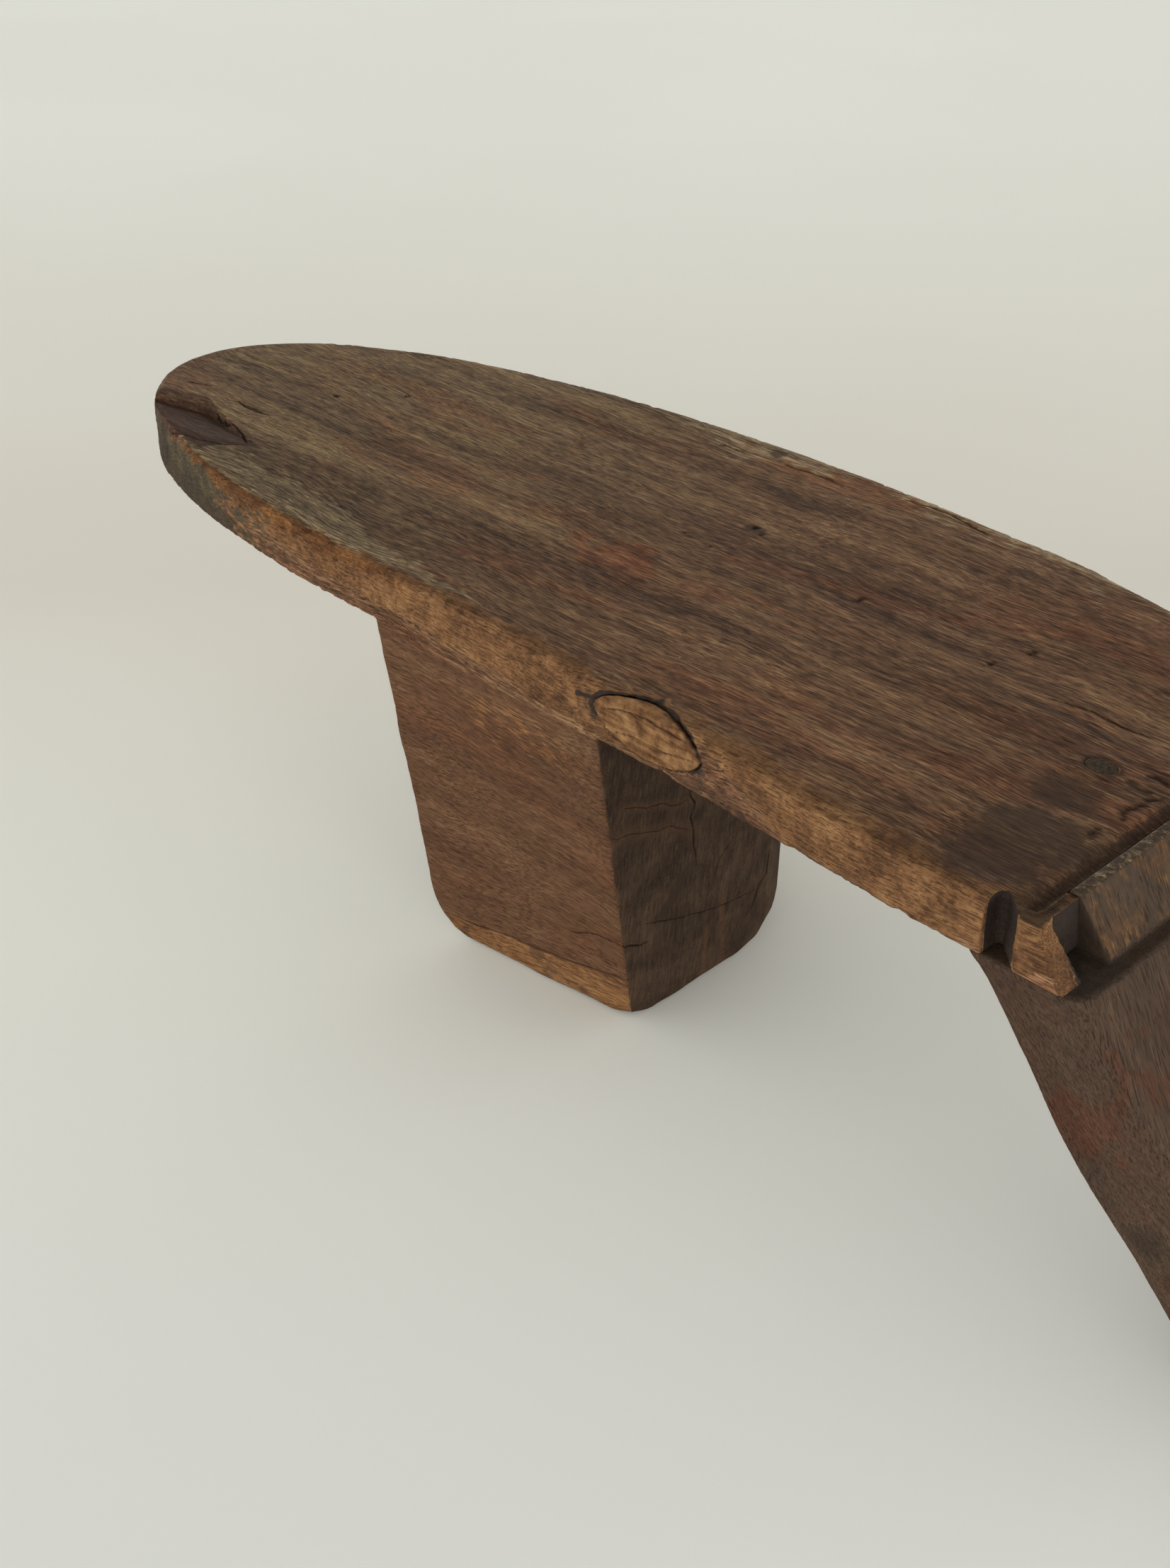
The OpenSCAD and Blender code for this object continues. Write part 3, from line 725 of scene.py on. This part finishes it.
def carve_leg(voxel):
    obj = remeshed("rear_leg", voxel, "rear_leg_wood")
    p = points(obj)
    n = normals(obj)
    convex = arrises(obj, p, n)
    body = 1 - step(p[:, 2], *BODY_TOP)
    head = step(p[:, 2], *HEAD_FOOT)
    wavy = cloud(p, (40, 40, 55), 61, 3)
    fine = cloud(p, (8, 8, 14), 63, 3)
    inner = step(-n[:, 0], *TURNED)
    d = body * (1.3 * cloud(p, (60, 60, 80), 51, 2) - 0.4)
    d += body * 0.35 * cloud(p, (16, 16, 30), 53, 3)
    d += body * inner * HOLLOW_DEPTH * np.exp(-(((p[:, 2] - HOLLOW_Z) / HOLLOW_HALF) ** 2))
    d -= body * convex * (0.2 + 1.2 * step(np.abs(cloud(p, 12, 57, 2)), 0.25, 0.75))
    d -= head * convex * (0.5 + 0.5 * step(fine, -0.2, 0.4))
    set_points(obj, inside_box(p + n * d[:, None]))

    face = head * step(n[:, 0], *TURNED)
    spot = bell(p[:, XZ], *LEG_SPOT) * step(-n[:, 1], *TURNED)
    ledge = step(p[:, 2], *LEDGE_IN) * (1 - step(p[:, 2], *LEDGE_OUT)) * step(n[:, 2], *TURNED)
    ledge *= step(p[:, 0], *LEDGE_X)
    # The tongue's near flank, which faces into the slot, is darkened as painted shade
    flank = head * step(-n[:, 1], 0.4, 0.7)
    store(obj, "tan", face * (0.2 + 0.3 * step(fine + wavy, -0.3, 0.5)))
    store(obj, "rust", body * convex * 0.35)
    store(obj, "slate", face * 0.3)
    store(obj, "bleach", head * step(n[:, 2], 0.5, 0.9) * step(p[:, 2], 232, 238) * 0.4)
    store(obj, "grey_and_sheen", head * 0.35)
    store(obj, "red", body * step(wavy + 0.5 * fine, -0.1, 0.5) * 0.6)
    store(obj, "calm", 0.55 + 0.4 * head)
    store(obj, "wear", convex * body)
    # A real dark spot on the near side; the ledge and the flank darkened as painted shade
    store(obj, "dark", 0.7 * spot + 0.4 * ledge + 0.7 * flank)
    # The ledge darker still to the near side, as painted shade under the board's end
    store(obj, "stain_and_shade", 0.45 * ledge * step(-p[:, 1], *LEDGE_SHADE))
    for absent in ("golden", "crack", "end", "chip"):
        store(obj, absent, np.zeros(len(p)))
    return obj


def carve_peg(voxel):
    obj = remeshed("leg_peg", voxel, "leg_peg_wood")
    p = points(obj)
    d = PEG_BUMP * (cloud(p, 5, 71, 3) + 1.0)
    set_points(obj, np.minimum(p + normals(obj) * d[:, None], HIGH_LIMIT - MARGIN))
    return obj


def carve_knot(voxel):
    obj = remeshed("edge_knot", voxel, "edge_knot_wood")
    p = points(obj)
    n = normals(obj)
    wander = wobble(p) * 0.6
    outward = step(-n[:, 1], 0.0, 0.5)
    crack = highest(*(k.cut(p, n, wander)[0] for k in KNOT_CRACKS))
    d = outward * (0.5 * cloud(p, (12, 8, 8), 73, 3) - 0.5) - crack * KNOT_SPLIT_DEPTH
    set_points(obj, p + n * d[:, None])

    low, high = (np.array(v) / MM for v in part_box("edge_knot"))
    x, _, z = ((p - (low + high) / 2) / ((high - low) / 2)).T
    rim = np.hypot(x, z) + 0.12 * cloud(p, 6, 79, 2)
    store(obj, "crack", crack)
    store(obj, "dark", step(rim, 0.97, 1.1) * step(p[:, 2], 232, 244))
    return obj


# ---------------------------------------------------------------- materials


def rgb(*colour):
    """An sRGB colour, in three numbers over 10 out of 255, as the linear one a socket takes."""
    return tuple(((c / 255 + 0.055) / 1.055) ** 2.4 for c in colour)


class Net:
    """Short calls that build a node material."""

    def __init__(self, name, turn=(0, 0, 0)):
        self.mat = bpy.data.materials.new(name)
        self.mat.use_nodes = True
        self.tree = self.mat.node_tree
        self.tree.nodes.clear()
        self.out = self.tree.nodes.new("ShaderNodeOutputMaterial")
        self.object = self.node("ShaderNodeTexCoord").outputs["Object"]
        turned = self.mapped(self.object, Rotation=turn)
        self.grained = self.pushed(self.pushed(turned, 9.0, 0.014), 45.0, 0.0018)

    def put(self, socket, value):
        if isinstance(value, bpy.types.NodeSocket):
            self.tree.links.new(value, socket)
        elif socket.type == "RGBA":
            socket.default_value = (*value, 1)
        else:
            socket.default_value = value

    def node(self, kind, inputs=None, **props):
        n = self.tree.nodes.new(kind)
        for k, v in props.items():
            setattr(n, k, v)
        for k, v in (inputs or {}).items():
            self.put(n.inputs[k], v)
        return n

    def attr(self, name):
        return self.node("ShaderNodeAttribute", attribute_name=name).outputs["Fac"]

    def mapped(self, vector, **how):
        return self.node("ShaderNodeMapping", {"Vector": vector, **how}).outputs["Vector"]

    def vector_math(self, op, a, b):
        return self.node("ShaderNodeVectorMath", {0: a, 1: b}, operation=op)

    def pushed(self, vector, scale, metres):
        """The coordinates moved sideways by slow noise, so that the grain runs wavy."""
        n = self.node("ShaderNodeTexNoise", {"Vector": vector, "Scale": scale, "Detail": 1.0})
        centred = self.vector_math("SUBTRACT", n.outputs["Color"], (0.5, 0.5, 0.5)).outputs[0]
        sideways = self.vector_math("MULTIPLY", centred, (0, metres, metres)).outputs[0]
        return self.vector_math("ADD", vector, sideways).outputs[0]

    def noise(self, vector, detail, rough):
        inputs = {"Vector": vector, "Scale": 1.0, "Detail": detail, "Roughness": rough}
        return self.node("ShaderNodeTexNoise", inputs).outputs["Fac"]

    def grain(self, length, width, detail):
        """Noise drawn out along the grain, from the size of its marks in millimetres."""
        scale = (PER_METRE / length, PER_METRE / width, PER_METRE / width)
        return self.noise(self.mapped(self.grained, Scale=scale), detail, 0.6)

    def mottle(self, size, detail=5.0, rough=0.65):
        """Noise that is alike in all directions, from the size of its marks in millimetres."""
        return self.noise(self.mapped(self.object, Scale=(PER_METRE / size,) * 3), detail, rough)

    def ramp(self, fac, low, high):
        """0 below low, 1 above high, with a smooth way up between them."""
        inputs = {"Value": fac, "From Min": low, "From Max": high}
        n = self.node("ShaderNodeMapRange", inputs, interpolation_type="SMOOTHSTEP")
        return n.outputs["Result"]

    def palette(self, fac, stops):
        """A colour ramp from pairs of place and sRGB colour."""
        n = self.node("ShaderNodeValToRGB", {"Fac": fac})
        ramp = n.color_ramp
        while len(ramp.elements) < len(stops):
            ramp.elements.new(0.5)
        for e, (place, colour) in zip(ramp.elements, stops):
            e.position = place
            e.color = (*rgb(*colour), 1)
        return n.outputs["Color"]

    def mix(self, fac, a, b, mode="MIX"):
        n = self.node("ShaderNodeMix", data_type="RGBA", blend_type=mode)
        self.put(n.inputs["Factor"], fac)
        self.put(n.inputs["A"], a)
        self.put(n.inputs["B"], b)
        return n.outputs["Result"]

    def math(self, op, a, b):
        n = self.node("ShaderNodeMath", operation=op)
        self.put(n.inputs[0], a)
        self.put(n.inputs[1], b)
        return n.outputs[0]

    def times(self, a, b):
        return self.math("MULTIPLY", a, b)

    def rest(self, a):
        """What a leaves of 1."""
        return self.math("SUBTRACT", 1.0, a)

    def sum(self, *parts):
        """Weighted sum of pairs of weight and value."""
        total = 0.0
        for weight, value in parts:
            total = self.math("ADD", self.times(value, weight), total)
        return total

    def ragged(self, name, by, reach):
        """A mask stored on the mesh, with its border broken up by noise."""
        mask = self.sum((1.0, self.attr(name)), (reach, by))
        return self.ramp(mask, 0.3 + reach / 2, 0.7 + reach / 2)

    def shaded(self, colour, rough, layers, specular):
        """The finished material; each layer is a bump's height, its metres and its strength."""
        inputs = {"Base Color": colour, "Roughness": rough, "Specular IOR Level": specular}
        for height, metres, strength in layers:
            bump = {"Height": height, "Distance": metres, "Strength": strength}
            if "Normal" in inputs:
                bump["Normal"] = inputs["Normal"]
            inputs["Normal"] = self.node("ShaderNodeBump", bump).outputs["Normal"]
        shader = self.node("ShaderNodeBsdfPrincipled", inputs)
        self.put(self.out.inputs["Surface"], shader.outputs[0])
        return self.mat


# Old dull wood hardly shines
WOOD_SPECULAR = 0.012
# Where the four tones of a wood lie on its colour ramp
TONE_PLACES = (0.38, 0.46, 0.53, 0.62)
# The four tones of each wood and its even colour, where the grain is calm, in sRGB
HEARTWOOD = ((46, 33, 26), (81, 59, 43), (105, 79, 57), (138, 110, 80)), (73, 51, 37)
LEG_WOOD = ((38, 30, 25), (59, 47, 38), (70, 56, 46), (89, 73, 57)), (64, 51, 42)
# The grain of the rear leg runs down its slope
LEG_GRAIN_TURN = (0, math.radians(-61), 0)
# Colour ramps of the finish, as pairs of place and sRGB colour
BLEACHED = (0.41, (72, 60, 45)), (0.5, (114, 98, 73)), (0.59, (160, 142, 112))
OCHRE = (0.38, (56, 40, 29)), (0.46, (83, 59, 40)), (0.53, (105, 76, 50)), (0.62, (128, 99, 68))
GOLD = (0.4, (76, 51, 33)), (0.5, (102, 71, 45)), (0.6, (130, 96, 61))
STONE = (0.42, (48, 44, 38)), (0.5, (64, 57, 45)), (0.6, (88, 75, 55))
RUST = (0.4, (58, 38, 25)), (0.5, (88, 58, 34)), (0.6, (122, 85, 47))
SPLIT = (0.4, (46, 33, 26)), (0.52, (70, 51, 39)), (0.62, (94, 71, 52))
END_GRAIN = (0.4, (45, 36, 29)), (0.5, (57, 45, 36)), (0.6, (73, 58, 44))
KNOT = (0.38, (60, 40, 27)), (0.47, (88, 63, 41)), (0.55, (108, 80, 53)), (0.66, (132, 103, 71))
PEG = (0.4, (38, 33, 27)), (0.5, (56, 47, 38)), (0.62, (73, 60, 47))
# Single colours of the finish, in sRGB, and tints that the wood is multiplied by
# The dirt and stain colours also stand for painted shade in the rear joint's recesses
WORN, PORE, DIRT_AND_SHADE, STAIN_AND_SHADE = rgb(90, 64, 43), rgb(30, 23, 19), rgb(47, 39, 32), rgb(36, 33, 32)
CRACK, DUST = rgb(18, 13, 11), rgb(190, 186, 176)
KNOT_RIM, KNOT_CRACK = rgb(40, 33, 30), rgb(24, 17, 14)
WARM, SHADED = (1.08, 0.86, 0.8), (0.74, 0.74, 0.74)
GREYED_AND_SHEEN, REDDENED = (1.0, 1.18, 1.14), (1.1, 0.84, 0.78)
# The checks in the end grain, as marks in a metre along X, Y and Z
END_CHECKS = (100, 700, 90)
# Dust: cells in a metre, which of them hold a speck, and the speck's size in its cell
DUST_CELLS, DUST_FROM, DUST_SIZE = 55.0, (0.972, 0.974), (0.032, 0.02)


def old_wood(name, wood, turn=(0, 0, 0)):
    tones, plain = wood
    net = Net(name, turn)
    bands = net.grain(260, 24, 3.0)
    streaks = net.grain(90, 3.4, 5.0)
    fibres = net.grain(13, 0.95, 3.0)
    pores = net.ramp(net.grain(8, 0.6, 1.0), 0.56, 0.63)
    hue = net.grain(150, 40, 3.0)
    spots = net.mottle(7)
    coarse = net.mottle(30)
    specks = net.mottle(2.2, 3.0)
    tone = net.sum((0.3, bands), (0.22, streaks), (0.48, fibres))
    crusty = net.sum((0.2, spots), (0.4, coarse), (0.25, fibres), (0.15, specks))

    colour = net.palette(tone, tuple(zip(TONE_PLACES, tones)))
    colour = net.mix(net.times(net.ramp(hue, 0.5, 0.64), 0.7), colour, WARM, "MULTIPLY")
    colour = net.mix(net.times(net.ramp(coarse, 0.52, 0.66), 0.35), colour, SHADED, "MULTIPLY")
    colour = net.mix(net.times(net.attr("calm"), 0.8), colour, rgb(*plain))
    # Greyer weathered wood, which on the top also paints the sheen seen at a grazing angle
    colour = net.mix(net.attr("grey_and_sheen"), colour, GREYED_AND_SHEEN, "MULTIPLY")
    colour = net.mix(net.ragged("red", streaks, 0.5), colour, REDDENED, "MULTIPLY")
    # Worn and weathered layers: mask, what breaks up its border and how far, share, colours
    for mask, by, reach, share, fac, stops in (
        ("bleach", streaks, 1.2, 0.8, tone, BLEACHED),
        ("tan", spots, 0.6, 1.0, crusty, OCHRE),
        ("golden", fibres, 0.9, 0.75, tone, GOLD),
        ("slate", spots, 0.9, 1.0, crusty, STONE),
        ("rust", coarse, 0.8, 0.8, crusty, RUST),
    ):
        layer = net.times(net.ragged(mask, by, reach), share)
        colour = net.mix(layer, colour, net.palette(fac, stops))
    colour = net.mix(net.attr("chip"), colour, net.palette(tone, SPLIT))
    # End grain: fine upright checks, with little of the long grain
    checks = net.noise(net.mapped(net.object, Scale=END_CHECKS), 4.0, 0.6)
    checked = net.sum((0.4, checks), (0.2, spots), (0.4, coarse))
    end = net.times(net.attr("end"), net.rest(net.attr("golden")))
    colour = net.mix(end, colour, net.palette(checked, END_GRAIN))
    # Worn arrises, pores, dirt and stains (both with painted shade), cracks and dust
    colour = net.mix(net.times(net.attr("wear"), net.ramp(coarse, 0.44, 0.6)), colour, WORN)
    colour = net.mix(net.times(pores, 0.55), colour, PORE)
    # Dirt, and painted shade on the rear leg's ledge and the near flank of its tongue
    colour = net.mix(net.times(net.ragged("dark", spots, 0.7), 0.7), colour, DIRT_AND_SHADE)
    # Stains, and painted shade in the notch, the slot and on the rear leg's ledge
    colour = net.mix(net.times(net.ragged("stain_and_shade", spots, 0.4), 0.9), colour, STAIN_AND_SHADE)
    colour = net.mix(net.attr("crack"), colour, CRACK)
    cells = net.node("ShaderNodeTexVoronoi", {"Vector": net.object, "Scale": DUST_CELLS})
    chance = net.node("ShaderNodeSeparateColor", {0: cells.outputs["Color"]}).outputs[0]
    speck = net.ramp(cells.outputs["Distance"], *DUST_SIZE)
    speck = net.times(speck, net.ramp(chance, *DUST_FROM))
    colour = net.mix(net.times(speck, 0.7), colour, DUST)

    rough = net.sum((0.25, streaks), (0.55, 1.0))
    layers = [
        (coarse, 0.0012, 0.5),
        (streaks, 0.0008, 0.6),
        (fibres, 0.0003, 0.8),
        (net.rest(pores), 0.0003, 0.8),
    ]
    return net.shaded(colour, rough, layers, WOOD_SPECULAR)


def knot_wood(name):
    net = Net(name)
    grain = net.grain(26, 3, 5.0)
    spots = net.mottle(7)
    colour = net.palette(net.sum((0.5, grain), (0.5, spots)), KNOT)
    colour = net.mix(net.times(net.attr("dark"), 0.85), colour, KNOT_RIM)
    colour = net.mix(net.attr("crack"), colour, KNOT_CRACK)
    return net.shaded(colour, 0.75, [(spots, 0.0006, 0.5), (grain, 0.0004, 0.7)], WOOD_SPECULAR)


def peg_wood(name):
    net = Net(name)
    pores = net.mottle(1.6, 2.0)
    blot = net.mottle(8)
    colour = net.palette(net.sum((0.5, pores), (0.5, blot)), PEG)
    return net.shaded(colour, 0.75, [(blot, 0.0008, 0.6), (pores, 0.0004, 0.7)], WOOD_SPECULAR)


# ---------------------------------------------------------------- build the pieces

# Size of the remeshed grids, in metres
VOXEL = 0.0012
PEG_VOXEL, KNOT_VOXEL = 0.0006, 0.0008

for piece, node, slot, wood in (
    (carve_seat(VOXEL), "seat_and_front_leg", "heartwood", old_wood("heartwood", HEARTWOOD)),
    (carve_leg(VOXEL), "rear_leg", "leg_wood", old_wood("leg_wood", LEG_WOOD, LEG_GRAIN_TURN)),
    (carve_peg(PEG_VOXEL), "leg_peg", "peg_wood", peg_wood("peg_wood")),
    (carve_knot(KNOT_VOXEL), "edge_knot", "knot_wood", knot_wood("knot_wood")),
):
    piece.data.materials.append(wood)
    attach(piece, "root")
    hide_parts(node)

# ---------------------------------------------------------------- camera

# Place in metres; turn off the board's length and pitch below the horizon, as the photo has them
CAMERA_AT = (0.65263, -0.747516, 0.73469)
CAMERA_TURN = math.radians(44.9)
CAMERA_PITCH = math.radians(32.04)
FOCAL_PX, PHOTO_H = 2950, 2214
SENSOR = 36
ahead = Vector((-math.cos(CAMERA_TURN), math.sin(CAMERA_TURN), 0))
forward = ahead * math.cos(CAMERA_PITCH) - Vector((0, 0, math.sin(CAMERA_PITCH)))
right = Vector((math.sin(CAMERA_TURN), math.cos(CAMERA_TURN), 0))
up = right.cross(forward)
cam_data = bpy.data.cameras.new("photo_camera")
cam_data.sensor_fit = "VERTICAL"
cam_data.sensor_height = SENSOR
cam_data.lens = FOCAL_PX / PHOTO_H * SENSOR
camera = added("photo_camera", cam_data)
rows = [(right[k], up[k], -forward[k], CAMERA_AT[k]) for k in range(3)]
camera.matrix_world = Matrix((*rows, (0, 0, 0, 1)))
bpy.context.scene.camera = camera
bpy.context.scene.view_settings.view_transform = "Standard"

# ---------------------------------------------------------------- floor and light

# Half the side of the paper on the floor, in metres
HALF = 8
# Tones of the paper from the front to the back, along the way the camera looks. They are painted
# light: lighter round the object, against the shade it casts, and darker half a metre behind it
PAPER_PAINTED_LIGHT = (
    (0.37, (230, 233, 230)),
    (0.5, (233, 235, 227)),
    (0.62, (216, 213, 203)),
    (0.95, (223, 225, 218)),
)
PAPER_CLOUD = (0.985, 0.98, 0.975)
floor_mesh = bpy.data.meshes.new("floor")
corners = [(-HALF, -HALF, 0), (HALF, -HALF, 0), (HALF, HALF, 0), (-HALF, HALF, 0)]
floor_mesh.from_pydata(corners, [], [(0, 1, 2, 3)])
floor = added("floor", floor_mesh)
paper = Net("floor_paper")
depth = paper.vector_math("DOT_PRODUCT", paper.object, tuple(ahead)).outputs["Value"]
# Painted light: the paper's tone follows its distance along the way the camera looks
floor_painted_light = paper.palette(paper.sum((0.25, depth), (1.0, 0.5)), PAPER_PAINTED_LIGHT)
cloudy = paper.ramp(paper.mottle(700, 2.0, 0.5), 0.4, 0.6)
floor_painted_light = paper.mix(cloudy, floor_painted_light, PAPER_CLOUD, "MULTIPLY")
floor_mesh.materials.append(paper.shaded(floor_painted_light, 0.95, [(paper.mottle(240, 2.0), 0.002, 0.3)], 0.1))

# A dome of soft light, brighter towards the horizon, so that the shadows stay faint. Its
# strength falls from DOME_SIDE at the horizon to DOME_TOP where the direction's Z is DOME_Z
DOME_SIDE, DOME_TOP, DOME_Z = 7.75, 0.2, 0.5
DOME_COLOUR = (1.0, 0.985, 0.955, 1)
world = bpy.data.worlds.new("studio")
bpy.context.scene.world = world
world.use_nodes = True
sky = world.node_tree
background = sky.nodes["Background"]
background.inputs["Color"].default_value = DOME_COLOUR
where = sky.nodes.new("ShaderNodeTexCoord").outputs["Generated"]
axes = sky.nodes.new("ShaderNodeSeparateXYZ")
level = sky.nodes.new("ShaderNodeMapRange")
for name, value in (("From Max", DOME_Z), ("To Min", DOME_SIDE), ("To Max", DOME_TOP)):
    level.inputs[name].default_value = value
sky.links.new(where, axes.inputs[0])
sky.links.new(axes.outputs["Z"], level.inputs["Value"])
sky.links.new(level.outputs["Result"], background.inputs["Strength"])

# One weak, broad sun from the front left
SUN_TOWARD = (-0.5, -0.5, 0.85)
key = bpy.data.lights.new("key", "SUN")
key.energy = 0.4
key.angle = math.radians(80)
key.color = (1.0, 0.98, 0.95)
lamp = added("key", key)
lamp.rotation_mode = "QUATERNION"
lamp.rotation_quaternion = Vector(SUN_TOWARD).to_track_quat("Z", "Y")
